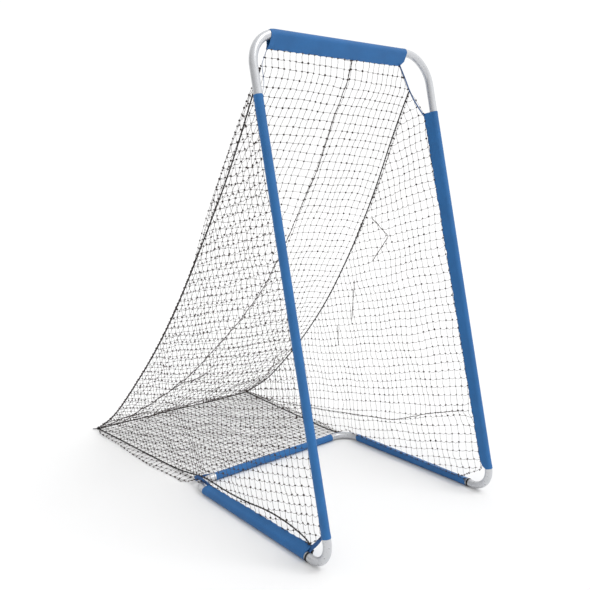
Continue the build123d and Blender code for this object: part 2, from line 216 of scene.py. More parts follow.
# Rope routes, from the top of the net to its rear corners and forward along the ground.
EDGE_ROPE = {
    "left": [(-0.462, -0.582, 1.932), (-0.466, -0.505, 1.785), (-0.474, -0.355, 1.520),
             (-0.483, -0.180, 1.268), (-0.492, -0.015, 1.030), (-0.501, 0.150, 0.812),
             (-0.511, 0.345, 0.590), (-0.523, 0.550, 0.385), (-0.535, 0.755, 0.190),
             (-0.544, 0.905, 0.080), (-0.549, 1.026, 0.013)],
    "right": [(0.445, -0.545, 1.902), (0.452, -0.445, 1.722), (0.460, -0.330, 1.470),
              (0.470, -0.195, 1.226), (0.481, -0.055, 1.012), (0.491, 0.090, 0.808),
              (0.503, 0.255, 0.620), (0.516, 0.425, 0.450), (0.530, 0.615, 0.282),
              (0.542, 0.805, 0.126), (0.553, 1.018, 0.013)],
}
GROUND_ROPE = {
    "left": [(-0.548, 1.026, 0.004), (-0.532, 0.860, 0.003), (-0.519, 0.715, 0.003),
             (-0.507, 0.545, 0.003), (-0.490, 0.355, 0.003), (-0.476, 0.190, 0.004),
             (-0.470, 0.045, 0.026), (-0.478, -0.080, 0.056), (-0.484, -0.245, 0.055),
             (-0.483, -0.425, 0.062), (-0.483, -0.595, 0.086), (-0.482, -0.735, 0.084),
             (-0.482, -0.823, 0.070), (-0.483, -0.867, 0.060), (-0.492, -0.908, 0.043)],
    "right": [(0.552, 1.018, 0.004), (0.538, 0.845, 0.003), (0.529, 0.655, 0.003),
              (0.519, 0.465, 0.003), (0.510, 0.275, 0.003), (0.500, 0.125, 0.005),
              (0.503, 0.035, 0.007), (0.528, -0.040, 0.008), (0.545, -0.115, 0.007),
              (0.543, -0.240, 0.008), (0.541, -0.370, 0.007), (0.543, -0.500, 0.008),
              (0.541, -0.640, 0.007), (0.543, -0.770, 0.008), (0.542, -0.850, 0.007),
              (0.541, -0.908, 0.009)],
}
REAR_ROPE = [(-0.543, 1.033, 0.004), (-0.390, 1.036, 0.003), (-0.230, 1.029, 0.003),
             (-0.070, 1.034, 0.003), (0.090, 1.026, 0.003), (0.240, 1.013, 0.003),
             (0.390, 1.014, 0.003), (0.547, 1.025, 0.004)]
ROPE_LENGTH = {"edge_rope_left": 2.534, "edge_rope_right": 2.500, "ground_rope_left": 1.949,
               "ground_rope_right": 1.933, "rear_rope": 1.091}


class NetSizes(bpy.types.PropertyGroup):
    """Sizes of the net, its cords and its cloth."""
    mesh_width: FloatProperty(name="Mesh width", description="Between knots along a row",
                              default=0.0365, subtype="DISTANCE", unit="LENGTH")
    mesh_height: FloatProperty(name="Mesh height", description="Between rows of knots",
                               default=0.0395, subtype="DISTANCE", unit="LENGTH")
    twine: FloatProperty(name="Twine", description="Thickness of the net's twine",
                         default=0.0018, subtype="DISTANCE", unit="LENGTH")
    knot: FloatProperty(name="Knot", description="Size of each knot in the net",
                        default=0.0098, subtype="DISTANCE", unit="LENGTH")
    rope: FloatProperty(name="Rope", description="Diameter of the edge and ground ropes",
                        default=0.0068, subtype="DISTANCE", unit="LENGTH")
    lay: FloatProperty(name="Rope lay", description="Length of one turn of a rope's strands",
                       default=0.030, subtype="DISTANCE", unit="LENGTH")
    cloth: FloatProperty(name="Cloth", description="Thickness of the sleeves' cloth",
                         default=0.0010, subtype="DISTANCE", unit="LENGTH")
    tape_width: FloatProperty(name="Tape width", description="Width of the corner tapes",
                              default=0.020, subtype="DISTANCE", unit="LENGTH")
    stitch: FloatProperty(name="Stitch", description="Length of one stitch",
                          default=0.0042, subtype="DISTANCE", unit="LENGTH")
    seed: IntProperty(name="Seed", description="Start of the random draws", default=7)


class NetColours(bpy.types.PropertyGroup):
    """Colours of the finishes."""
    cloth: FloatVectorProperty(name="Cloth", description="Blue of the sleeves", subtype="COLOR",
                               size=3, default=(0.010, 0.137, 0.390), min=0, max=1)
    tape: FloatVectorProperty(name="Tape", description="Blue of the corner tapes",
                              subtype="COLOR", size=3, default=(0.009, 0.104, 0.330), min=0, max=1)
    tube: FloatVectorProperty(name="Tube", description="Silver coat of the tube",
                              subtype="COLOR", size=3, default=(0.60, 0.61, 0.63), min=0, max=1)
    steel: FloatVectorProperty(name="Steel", description="Buttons and springs", subtype="COLOR",
                               size=3, default=(0.45, 0.46, 0.48), min=0, max=1)
    twine: FloatVectorProperty(name="Twine", description="The net's twine", subtype="COLOR",
                               size=3, default=(0.042, 0.028, 0.025), min=0, max=1)
    rope: FloatVectorProperty(name="Rope", description="The ropes", subtype="COLOR", size=3,
                              default=(0.010, 0.009, 0.009), min=0, max=1)


def deselect():
    """Nothing selected, nothing active."""
    bpy.ops.object.select_all(action="DESELECT")
    bpy.context.view_layer.objects.active = None


def activate(*objects):
    """Only these objects selected, the first one active."""
    deselect()
    for item in objects:
        item.select_set(True)
    bpy.context.view_layer.objects.active = objects[0]


def apply_modifier(piece, kind, **settings):
    """One modifier, set and applied."""
    activate(piece)
    modifier = piece.modifiers.new(kind.title(), kind)
    for key, value in settings.items():
        setattr(modifier, key, value)
    bpy.ops.object.modifier_apply(modifier=modifier.name)


def in_edit_mode(piece, *steps):
    """Run edit-mode steps on one piece."""
    activate(piece)
    bpy.ops.object.mode_set(mode="EDIT")
    for step in steps:
        step()
    bpy.ops.object.mode_set(mode="OBJECT")


def grid_sheet(name, across, along, place):
    """A sheet made from a grid, each vertex placed by its two shares."""
    deselect()
    bpy.ops.mesh.primitive_grid_add(x_subdivisions=across, y_subdivisions=along, size=1)
    piece = bpy.context.object
    piece.name = piece.data.name = name
    for vertex in piece.data.vertices:
        vertex.co = place(vertex.co.x + 0.5, vertex.co.y + 0.5)
    return piece


def close_seam(piece):
    """Weld the two edges that meet and turn every face outwards."""
    in_edit_mode(piece, lambda: bpy.ops.mesh.select_all(action="SELECT"),
                 lambda: bpy.ops.mesh.remove_doubles(threshold=1e-6),
                 lambda: bpy.ops.mesh.normals_make_consistent(inside=False))


def smooth(piece, angle=40):
    """Smooth shading except over sharp edges."""
    activate(piece)
    bpy.ops.object.shade_smooth_by_angle(angle=math.radians(angle))


def finish_piece(piece, material, slot, *nodes):
    """Give a piece its finish and its place in the assembly."""
    piece.data.materials.clear()
    piece.data.materials.append(material)
    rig.ride(piece, BODY)
    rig.slot(piece, slot)
    if nodes:
        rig.replaces(piece, *nodes)
    return piece


def copies(name, shape, placings):
    """One shape's mesh repeated at each placing, as a single piece."""
    points = np.array([vertex.co for vertex in shape.data.vertices])
    faces = [tuple(face.vertices) for face in shape.data.polygons]
    all_points, all_faces = [], []
    for turn, place in placings:
        start = len(all_points) * len(points)
        all_points.append(points @ np.array(turn).T + np.array(place))
        all_faces.extend(tuple(corner + start for corner in face) for face in faces)
    mesh = bpy.data.meshes.new(name)
    mesh.from_pydata(np.concatenate(all_points).tolist(), [], all_faces)
    mesh.update()
    piece = bpy.data.objects.new(name, mesh)
    bpy.context.scene.collection.objects.link(piece)
    return piece


def remove(*objects):
    """Delete shapes that were only needed to make copies."""
    for item in objects:
        bpy.data.objects.remove(item)


# ---------------------------------------------------------------- finishes

def new_material(name):
    """A material with its shader, and a function that adds and links nodes."""
    material = bpy.data.materials.new(name)
    material.use_nodes = True
    tree = material.node_tree
    shader = tree.nodes["Principled BSDF"]

    def node(kind, settings=None, inputs=None, links=None):
        made = tree.nodes.new(kind)
        for key, value in (settings or {}).items():
            setattr(made, key, value)
        for key, value in (inputs or {}).items():
            made.inputs[key].default_value = value
        for key, source in (links or {}).items():
            tree.links.new(source, made.inputs[key])
        return made

    return material, tree, shader, node


def colour_ramp(node, source, stops):
    """A ramp between colours, each stop a place and a colour."""
    ramp = node("ShaderNodeValToRGB", links={"Fac": source})
    elements = ramp.color_ramp.elements
    while len(elements) < len(stops):
        elements.new(0.5)
    for element, (place, colour) in zip(elements, stops):
        element.position = place
        element.color = (*colour, 1)
    return ramp.outputs["Color"]


def shade(colour, amount):
    """A colour made lighter or darker."""
    return tuple(min(1.0, part * amount) for part in colour)


def coated_tube(name, colour):
    """Silver powder coat with fine orange peel and faint scuffs."""
    material, tree, shader, node = new_material(name)
    place = node("ShaderNodeTexCoord").outputs["Object"]
    peel = node("ShaderNodeTexNoise", inputs={"Scale": 900.0, "Detail": 2.0},
                links={"Vector": place}).outputs["Fac"]
    cloud = node("ShaderNodeTexNoise", inputs={"Scale": 14.0, "Detail": 4.0},
                 links={"Vector": place}).outputs["Fac"]
    scuff = node("ShaderNodeTexNoise", inputs={"Scale": 120.0, "Detail": 6.0, "Roughness": 0.7},
                 links={"Vector": place}).outputs["Fac"]
    tree.links.new(colour_ramp(node, cloud, [(0.3, shade(colour, 0.94)), (0.7, colour)]),
                   shader.inputs["Base Color"])
    rough = node("ShaderNodeMapRange", inputs={"From Min": 0.35, "From Max": 0.75,
                                               "To Min": 0.26, "To Max": 0.42},
                 links={"Value": scuff})
    tree.links.new(rough.outputs["Result"], shader.inputs["Roughness"])
    bump = node("ShaderNodeBump", inputs={"Strength": 0.15, "Distance": 0.0002},
                links={"Height": peel})
    tree.links.new(bump.outputs["Normal"], shader.inputs["Normal"])
    shader.inputs["Metallic"].default_value = 0.7
    return material


def spring_steel(name, colour):
    """Rolled steel with a fine grain."""
    material, tree, shader, node = new_material(name)
    place = node("ShaderNodeTexCoord").outputs["Object"]
    grain = node("ShaderNodeTexNoise", inputs={"Scale": 700.0, "Detail": 3.0},
                 links={"Vector": place}).outputs["Fac"]
    tree.links.new(colour_ramp(node, grain, [(0.3, shade(colour, 0.85)), (0.7, colour)]),
                   shader.inputs["Base Color"])
    rough = node("ShaderNodeMapRange", inputs={"To Min": 0.25, "To Max": 0.45},
                 links={"Value": grain})
    tree.links.new(rough.outputs["Result"], shader.inputs["Roughness"])
    shader.inputs["Metallic"].default_value = 1.0
    return material


def woven_cloth(name, colour, thread=0.0011, sheen=0.05):
    """Plain-woven cloth on the piece's own map, which is in metres, with faint soiling."""
    material, tree, shader, node = new_material(name)
    own = node("ShaderNodeTexCoord")
    turns = math.tau / thread
    bands = []
    for direction in ("X", "Y"):
        wave = node("ShaderNodeTexWave", settings={"bands_direction": direction},
                    inputs={"Scale": turns / 20, "Distortion": 0.6, "Detail": 1.0,
                            "Detail Scale": 2.0}, links={"Vector": own.outputs["UV"]})
        bands.append(wave.outputs["Fac"])
    weave = node("ShaderNodeMath", settings={"operation": "MULTIPLY"})
    tree.links.new(bands[0], weave.inputs[0])
    tree.links.new(bands[1], weave.inputs[1])
    fade = node("ShaderNodeTexNoise", inputs={"Scale": 9.0, "Detail": 5.0, "Roughness": 0.6},
                links={"Vector": own.outputs["Object"]}).outputs["Fac"]
    plain = colour_ramp(node, fade, [(0.25, shade(colour, 0.88)), (0.75, shade(colour, 1.12))])
    dark = colour_ramp(node, weave.outputs[0], [(0.0, (0.72,) * 3), (0.6, (1.0,) * 3)])
    mixed = node("ShaderNodeMix", settings={"data_type": "RGBA", "blend_type": "MULTIPLY"})
    mixed.inputs["Factor"].default_value = 0.8
    tree.links.new(plain, mixed.inputs["A"])
    tree.links.new(dark, mixed.inputs["B"])
    tree.links.new(mixed.outputs["Result"], shader.inputs["Base Color"])
    bump = node("ShaderNodeBump", inputs={"Strength": 0.35, "Distance": 0.0003},
                links={"Height": weave.outputs[0]})
    tree.links.new(bump.outputs["Normal"], shader.inputs["Normal"])
    shader.inputs["Roughness"].default_value = 0.62
    shader.inputs["Sheen Weight"].default_value = sheen
    return material


def spun_cord(name, colour, fibre=1500.0):
    """Twisted synthetic cord: dark, matt, with fine fibres along it."""
    material, tree, shader, node = new_material(name)
    place = node("ShaderNodeTexCoord").outputs["Object"]
    fibres = node("ShaderNodeTexNoise", inputs={"Scale": fibre, "Detail": 3.0},
                  links={"Vector": place}).outputs["Fac"]
    tone = node("ShaderNodeTexNoise", inputs={"Scale": 30.0, "Detail": 3.0},
                links={"Vector": place}).outputs["Fac"]
    tree.links.new(colour_ramp(node, tone, [(0.3, shade(colour, 0.7)), (0.7, shade(colour, 1.5))]),
                   shader.inputs["Base Color"])
    rough = node("ShaderNodeMapRange", inputs={"To Min": 0.55, "To Max": 0.9},
                 links={"Value": fibres})
    tree.links.new(rough.outputs["Result"], shader.inputs["Roughness"])
    bump = node("ShaderNodeBump", inputs={"Strength": 0.4, "Distance": 0.0002},
                links={"Height": fibres})
    tree.links.new(bump.outputs["Normal"], shader.inputs["Normal"])
    return material


FINISHES = {}


def finish(name):
    """The named finish, made once."""
    if name not in FINISHES:
        colours = bpy.context.scene.kicking_net_colours
        makers = {
            "cloth": lambda: woven_cloth("blue_woven_cloth", tuple(colours.cloth)),
            "tape": lambda: woven_cloth("blue_woven_tape", tuple(colours.tape), 0.0008),
            "stitch": lambda: spun_cord("blue_stitching_thread", (0.02, 0.075, 0.25)),
            "tube": lambda: coated_tube("silver_powder_coat", tuple(colours.tube)),
            "steel": lambda: spring_steel("spring_steel", tuple(colours.steel)),
            "button": lambda: spring_steel("bright_button_steel", (0.6, 0.61, 0.63)),
            "twine": lambda: spun_cord("dark_net_twine", tuple(colours.twine)),
            "rope": lambda: spun_cord("black_rope", tuple(colours.rope), 900.0),
        }
        FINISHES[name] = makers[name]()
    return FINISHES[name]


# ---------------------------------------------------------------- sleeves

def between(first, second, angle):
    """The direction some way round from the first direction towards the second."""
    return first * math.cos(angle) + second * math.sin(angle)


INWARD = {name: ACROSS * -side for name, side in SIDES.items()}
LEG_FLAP_WAY = {name: between(INWARD[name], LEG_BACK, QUARTER) for name in SIDES}
GROUND_FLAP_WAY = {name: between(INWARD[name], UP, QUARTER) for name in SIDES}
TOP_FLAP_WAY = between(-UP, BACK, TOP_TILT)
REAR_DROP = math.asin((SLEEVE_RADIUS - FLAP_TIP) / (REAR_FLAP - FLAP_TIP))
REAR_FLAP_WAY = between(BACK, -UP, REAR_DROP)
FLAP_DROP = ((LEG_FLAP_LOW - FLAP_TIP) * math.sin(QUARTER) + FLAP_TIP) * math.sin(LEAN)
LEG_START = {name: (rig.box(f"leg_sleeve_{name}")[0].z - SLEEVE_RADIUS + FLAP_DROP)
             / math.cos(LEAN) for name in SIDES}
LEG_END = {name: (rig.box(f"leg_sleeve_{name}")[1].z - SLEEVE_RADIUS
                  - SLEEVE_RADIUS * math.sin(LEAN)) / math.cos(LEAN) for name in SIDES}
GROUND_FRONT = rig.box("ground_sleeve_left")[0].y
GROUND_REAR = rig.box("ground_sleeve_left")[1].y
TOP_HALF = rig.box("top_sleeve")[1].x
TOP_LEFT, TOP_RIGHT = -0.418, 0.368
TOP_BEND = HALF_WIDTH - TOP_HALF
REAR_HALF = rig.box("rear_sleeve")[1].x
BAND_EDGE = TOP_CENTRE + TOP_FLAP_WAY * TOP_FLAP


def flap_tip(name, along):
    """The tip of a leg sleeve's flap, some way up the leg."""
    share = (along - LEG_START[name]) / (LEG_END[name] - LEG_START[name])
    flap = LEG_FLAP_LOW + (LEG_FLAP_HIGH - LEG_FLAP_LOW) * share
    return FOOT[name] + LEG_UP * along + LEG_FLAP_WAY[name] * flap


def sleeve_outline(share, radius, flap):
    """A point of the section, from the flap's tip round the tube and back, and its whole length."""
    reach = flap - FLAP_TIP
    turn = math.acos((radius - FLAP_TIP) / reach)
    slope = math.sqrt(reach ** 2 - (radius - FLAP_TIP) ** 2)
    end, arc = FLAP_TIP * turn, radius * 2 * (math.pi - turn)
    total = 2 * end + 2 * slope + arc
    mirrored = share > 0.5
    along = (1 - share if mirrored else share) * total
    if along < end:
        angle = along / FLAP_TIP
        point = Vector((reach + FLAP_TIP * math.cos(angle), FLAP_TIP * math.sin(angle)))
    elif along < end + slope:
        ray = Vector((math.cos(turn), math.sin(turn)))
        part = (along - end) / slope
        point = (Vector((reach, 0)) + ray * FLAP_TIP).lerp(ray * radius, part)
    else:
        angle = turn + (along - end - slope) / radius
        point = Vector((math.cos(angle), math.sin(angle))) * radius
    return Vector((point.x, -point.y)) if mirrored else point, total


def cloth_sleeve(node, tubes, start, way, length, flap_way, flaps, ends=(0.0, 0.0),
                 taper=0.0, over_bend=0.0):
    """A sewn sleeve: close round the tube, its flap pulled into small scallops by the net."""
    sizes = bpy.context.scene.kicking_net_sizes
    side_way = way.cross(flap_way)
    radius = SLEEVE_RADIUS - sizes.cloth / 2
    hem = 0.014
    middle = sleeve_outline(0.5, radius, sum(flaps) / 2)[1]

    def place(around, along):
        share = 1 - abs(2 * around - 1)
        distance = along * length
        flap = flaps[0] + (flaps[1] - flaps[0]) * along
        pull = math.cos(math.tau * distance / sizes.mesh_height)
        tip_share = max(0.0, 1 - share * 4)
        uneven = noise.noise(Vector((distance * 23, start.x * 9, start.z * 5)))
        flap += (0.0012 * pull + 0.0030 * uneven) * tip_share
        flap *= 1 - taper * math.exp(-distance / 0.020)
        near_end = min(distance, length - distance)
        snug = radius - 0.0006 * (near_end > hem)
        point = sleeve_outline(around, snug, flap)[0]
        fold = noise.noise(Vector((around * 5, distance * 9, start.x * 7)))
        ripple = noise.noise(Vector((around * 3 + 9, distance * 38, start.y * 5)))
        grow = 1 + (0.012 * fold + 0.014 * ripple) * min(1, near_end / 0.03)
        cut = (ends[0] * math.exp(-distance / 0.025)
               - ends[1] * math.exp((distance - length) / 0.025))
        past = max(0.0, over_bend - distance)
        drop = TOP_BEND - math.sqrt(TOP_BEND ** 2 - past ** 2)
        follow = min(1.0, max(0.0, point.x / radius + 1) / 2) * min(1.0, 0.2 + share * 3)
        follow += (1 - follow) * max(0.0, 1 - distance / 0.030) * min(1.0, share * 3)
        return (start + way * (distance + cut * tip_share) + flap_way * point.x
                + side_way * point.y * grow - LEG_UP * drop * follow)

    piece = grid_sheet(f"{node}_cloth", 72, max(24, round(length / 0.010)), place)
    mapping = piece.data.uv_layers.active.data
    for corner in mapping:
        corner.uv = (corner.uv[0] * middle, corner.uv[1] * length)
    close_seam(piece)
    apply_modifier(piece, "SOLIDIFY", thickness=sizes.cloth, offset=-1)
    smooth(piece)
    finish_piece(piece, finish("cloth"), "sleeve_fabric", node)
    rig.sheet(piece, flat=(middle, length), held="stretched", rests_on=tubes)
    return piece


def stitch_rows():
    """Where the stitches go: a start, an end, and the way that the cloth faces, for each row."""
    rows = []

    def add(start, way, length, flap_way, reach):
        side_way = way.cross(flap_way)
        reach_at = [reach, reach]
        for face in (-1, 1):
            offset = side_way * face * (FLAP_TIP + 0.0012)
            first = start + flap_way * reach_at[0] + offset + way * 0.004
            last = start + flap_way * reach_at[1] + offset + way * (length - 0.004)
            rows.append((first, last, side_way * face))

    top_start = TOP_CENTRE + ACROSS * TOP_LEFT
    rear_start = REAR_CENTRE - ACROSS * REAR_HALF
    add(top_start, ACROSS, TOP_RIGHT - TOP_LEFT - 0.016, TOP_FLAP_WAY, TOP_FLAP - 0.006)
    add(rear_start, ACROSS, 2 * REAR_HALF, REAR_FLAP_WAY, REAR_FLAP - 0.005)
    for name in SIDES:
        run = LEG_END[name] - LEG_START[name]
        add(FOOT[name] + LEG_UP * LEG_START[name], LEG_UP, run, LEG_FLAP_WAY[name],
            LEG_FLAP_LOW - 0.004)
        ground_start = Vector((FOOT[name].x, GROUND_FRONT, SLEEVE_RADIUS))
        add(ground_start, BACK, GROUND_REAR - GROUND_FRONT, GROUND_FLAP_WAY[name],
            GROUND_FLAP - 0.005)
    return rows


# ---------------------------------------------------------------- ropes

class Route:
    """Points along a line, and a way to find the place at any share of its length."""

    def __init__(self, points):
        self.points = [Vector(point) for point in points]
        self.reach = [0.0]
        for first, second in zip(self.points, self.points[1:]):
            self.reach.append(self.reach[-1] + (second - first).length)
        self.length = self.reach[-1]

    def at(self, share):
        distance = min(max(share, 0), 1) * self.length
        index = min(max(bisect.bisect_right(self.reach, distance) - 1, 0), len(self.points) - 2)
        run = self.reach[index + 1] - self.reach[index]
        part = (distance - self.reach[index]) / run if run else 0
        return self.points[index].lerp(self.points[index + 1], part)

    def way(self, share):
        step = 0.5 / len(self.points)
        return (self.at(share + step) - self.at(share - step)).normalized()

    def at_height(self, height):
        """The place where a falling line passes a height, or its nearer end."""
        for first, second in zip(self.points, self.points[1:]):
            if second.z <= height <= first.z and first.z > second.z:
                return first.lerp(second, (first.z - height) / (first.z - second.z))
        return self.points[0] if height > self.points[0].z else self.points[-1]


def route_of(points):
    """The smooth route through a cord's control points, read from its curve."""
    data = bpy.data.curves.new("route", "CURVE")
    data.dimensions = "3D"
    spline = data.splines.new("NURBS")
    spline.points.add(len(points) - 1)
    for control, point in zip(spline.points, points):
        control.co = (*point, 1)
    spline.order_u = 3
    spline.use_endpoint_u = True
    spline.resolution_u = 12
    holder = bpy.data.objects.new("route", data)
    bpy.context.scene.collection.objects.link(holder)
    mesh = bpy.data.meshes.new_from_object(holder)
    line = [vertex.co.copy() for vertex in mesh.vertices]
    bpy.data.objects.remove(holder)
    bpy.data.meshes.remove(mesh)
    return Route(line)


ROUTES = {}


def routes():
    """Every rope's route, made once."""
    if not ROUTES:
        for name in SIDES:
            ROUTES[f"edge_rope_{name}"] = route_of(EDGE_ROPE[name])
            ROUTES[f"ground_rope_{name}"] = route_of(GROUND_ROPE[name])
        ROUTES["rear_rope"] = route_of(REAR_ROPE)
    return ROUTES


def curve_mesh(name, lines, radius, sides=1, closed=False):
    """A mesh made of round strands along lines of points."""
    data = bpy.data.curves.new(name, "CURVE")
    data.dimensions = "3D"
    data.bevel_depth = radius
    data.bevel_resolution = sides
    data.use_fill_caps = not closed
    for line in lines:
        spline = data.splines.new("POLY")
        spline.points.add(len(line) - 1)
        spline.use_cyclic_u = closed
        for control, point in zip(spline.points, line):
            control.co = (*point, 1)
    piece = bpy.data.objects.new(name, data)
    bpy.context.scene.collection.objects.link(piece)
    activate(piece)
    bpy.ops.object.convert(target="MESH")
    return bpy.context.object


def twisted_rope(node, reference):
    """A rope of three strands laid round its route."""
    sizes = bpy.context.scene.kicking_net_sizes
    route = routes()[node]
    steps = round(route.length / sizes.lay * 10)
    strand = sizes.rope * 0.232
    offset = sizes.rope / 2 - strand
    lines = []
    for start in range(3):
        line = []
        for step in range(steps + 1):
            share = step / steps
            way = route.way(share)
            first = way.cross(reference).normalized()
            second = way.cross(first)
            angle = math.tau * (share * route.length / sizes.lay + start / 3)
            line.append(route.at(share) + (first * math.cos(angle) + second * math.sin(angle))
                        * offset)
        lines.append(line)
    piece = curve_mesh(f"{node}_strands", lines, strand)
    smooth(piece, 80)
    finish_piece(piece, finish("rope"), "rope_cord", node)
    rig.cord(piece, exit=route.points[0], length=ROPE_LENGTH[node], diameter=sizes.rope,
            far_end="object", stiffness="limp", lay="taut", path=route.points)
    return piece


def knot_line(centre, way, size, tail):
    """A three-lobed knot with a short tail, round a centre."""
    way = Vector(way).normalized()
    first = way.cross(UP if abs(way.z) < 0.9 else ACROSS).normalized()
    second = way.cross(first)
    line = []
    for step in range(49):
        angle = math.tau * step / 48
        wide = 1 + 0.45 * math.cos(3 * angle)
        line.append(centre + (first * math.cos(2 * angle) + second * math.sin(2 * angle))
                    * size * 0.5 * wide + way * size * 0.45 * math.sin(3 * angle))
    return line[:-1], [centre, centre + tail * 0.5 - UP * 0.002, centre + tail]


# ---------------------------------------------------------------- nets

def outward_swell(share):
    """How far the fold between back and side net stands outside its edge rope."""
    if 0.03 < share < 0.38:
        return 0.004 + 0.028 * math.sin(math.pi * (share - 0.03) / 0.35)
    return 0.004


def border(name, share):
    """The fold between the back net and a side net, just outside the edge rope."""
    side = SIDES[name]
    away = Vector((side, 0.45, 0)).normalized()
    return routes()[f"edge_rope_{name}"].at(share) + away * outward_swell(share)


def wander(point, size, seed):
    """A smooth, repeatable push for one place."""
    return noise.noise_vector(point * size + Vector((seed, seed * 0.7, -seed)))


def knot_shape(size):
    """One knot: two crossed turns of twine."""
    deselect()
    turns = []
    for tilt in (0, math.radians(75)):
        bpy.ops.mesh.primitive_torus_add(major_radius=size * 0.30, minor_radius=size * 0.20,
                                         major_segments=5, minor_segments=3,
                                         rotation=(tilt, 0.4, tilt))
        turns.append(bpy.context.object)
    activate(*turns)
    bpy.ops.object.join()
    shape = bpy.context.object
    bpy.ops.object.transform_apply(location=True, rotation=True, scale=True)
    return shape


def knotted_net(name, columns, rows, place, outside, nodes):
    """A net: a grid whose cells are eight-sided, so each mesh side can sag, turned to twine."""
    sizes = bpy.context.scene.kicking_net_sizes
    draw = random.Random(sizes.seed + len(name) * 31 + columns)
    deselect()
    bpy.ops.mesh.primitive_grid_add(x_subdivisions=2 * columns, y_subdivisions=2 * rows, size=2)
    net = bpy.context.object
    net.name = net.data.name = name

    def knot_index(co):
        return round((co.x + 1) * columns), round((co.y + 1) * rows)

    gone = {}

    def knot_gone(i, j):
        if (i, j) not in gone:
            gone[i, j] = outside(i / columns, j / rows)
        return gone[i, j]

    for part in (net.data.vertices, net.data.edges, net.data.polygons):
        for item in part:
            item.select = False
    for face in net.data.polygons:
        i, j = (int((face.center.x + 1) * columns / 2), int((face.center.y + 1) * rows / 2))
        face.select = all(knot_gone(i + a, j + b) for a in (0, 1) for b in (0, 1))
    activate(net)
    bpy.ops.object.mode_set(mode="EDIT")
    bpy.ops.mesh.select_mode(type="FACE")
    bpy.ops.mesh.delete(type="FACE")
    bpy.ops.object.mode_set(mode="OBJECT")
    for part in (net.data.vertices, net.data.edges, net.data.polygons):
        for item in part:
            item.select = False
    for vertex in net.data.vertices:
        i, j = knot_index(vertex.co)
        vertex.select = i % 2 == 1 and j % 2 == 1
    bpy.ops.object.mode_set(mode="EDIT")
    bpy.ops.mesh.select_mode(type="VERT")
    bpy.ops.mesh.dissolve_verts()
    bpy.ops.mesh.select_all(action="DESELECT")
    bpy.ops.object.mode_set(mode="OBJECT")

    knots = []
    for vertex in net.data.vertices:
        i, j = knot_index(vertex.co)
        is_knot = i % 2 == 0 and j % 2 == 0
        vertex.co = place(i / (2 * columns), j / (2 * rows), is_knot)
        if is_knot:
            knots.append(vertex.co.copy())
    apply_modifier(net, "WIREFRAME", thickness=sizes.twine, offset=0, use_even_offset=False,
                   use_relative_offset=False, use_replace=True, use_boundary=True)
    shape = knot_shape(sizes.knot)
    placings = []
    for knot in knots:
        turn = Matrix.Rotation(draw.uniform(0, math.tau), 3, Vector(
            (draw.uniform(-1, 1), draw.uniform(-1, 1), draw.uniform(-1, 1))).normalized())
        size = draw.uniform(0.85, 1.15)
        placings.append((turn * size, knot))
    tied = copies(f"{name}_knots", shape, placings)
    remove(shape)
    for piece in (net, tied):
        smooth(piece, 60)
    finish_piece(tied, finish("twine"), "net_twine")
    return finish_piece(net, finish("twine"), "net_twine", *nodes)


def nearest_on(points, y, z, closed=True):
    """The nearest place to (y, z) on an outline or an open line."""
    best = None
    ends = points[1:] + points[:1] if closed else points[1:]
    for (y1, z1), (y2, z2) in zip(points, ends):
        run = (y2 - y1) ** 2 + (z2 - z1) ** 2
        part = 0 if run == 0 else ((y - y1) * (y2 - y1) + (z - z1) * (z2 - z1)) / run
        part = min(max(part, 0), 1)
        at = (y1 + (y2 - y1) * part, z1 + (z2 - z1) * part)
        distance = (at[0] - y) ** 2 + (at[1] - z) ** 2
        if best is None or distance < best[0]:
            best = (distance, at)
    return best[1]


# Creases that gather the back net: (across, down) shares, then how wide and how strong.
NET_DROP = 2.5
BACK_CREASES = [
    ([(0.56, 0.0), (0.54, 0.05), (0.55, 0.12), (0.56, 0.20), (0.54, 0.30), (0.52, 0.40),
      (0.49, 0.49), (0.44, 0.56), (0.38, 0.62), (0.31, 0.72), (0.20, 0.82), (0.10, 0.92),
      (0.0, 1.0)], 0.050, 0.80),
    ([(0.39, 0.745), (0.27, 0.795), (0.16, 0.855), (0.08, 0.94), (0.0, 1.0)], 0.035, 0.70),
    ([(0.87, 0.73), (0.91, 0.825), (0.96, 0.935), (1.0, 1.0)], 0.030, 0.60),
]
# Folds in the side nets: places seen from the side, then how wide and how strong.
SIDE_FOLDS = {
    "left": [([(0.98, 0.05), (0.72, 0.15), (0.45, 0.26), (0.15, 0.33)], 0.035, 0.45)],
    "right": [([(1.02, 0.012), (0.74, 0.030), (0.48, 0.065), (0.20, 0.110), (-0.03, 0.145),
                (-0.26, 0.185), (-0.42, 0.210), (-0.57, 0.270), (-0.68, 0.320),
                (-0.89, 0.390)], 0.045, 0.75),
              ([(-0.28, 1.29), (-0.40, 1.20), (-0.29, 1.07)], 0.030, 0.60),
              ([(-0.14, 0.94), (-0.11, 0.71)], 0.026, 0.55),
              ([(0.01, 0.66), (0.01, 0.55)], 0.026, 0.55)],
}


def gather(creases, first, second):
    """Where the creases draw a place to, and how deep it then lies in one."""
    moved, depth = [first, second], 0.0
    for points, width, strength in creases:
        at = nearest_on(points, first, second, closed=False)
        gap = (at[0] - first, at[1] - second)
        near = strength * math.exp(-(gap[0] ** 2 + gap[1] ** 2) / width ** 2)
        moved[0] += gap[0] * near
        moved[1] += gap[1] * near
        depth = max(depth, near)
    return moved[0], moved[1], depth


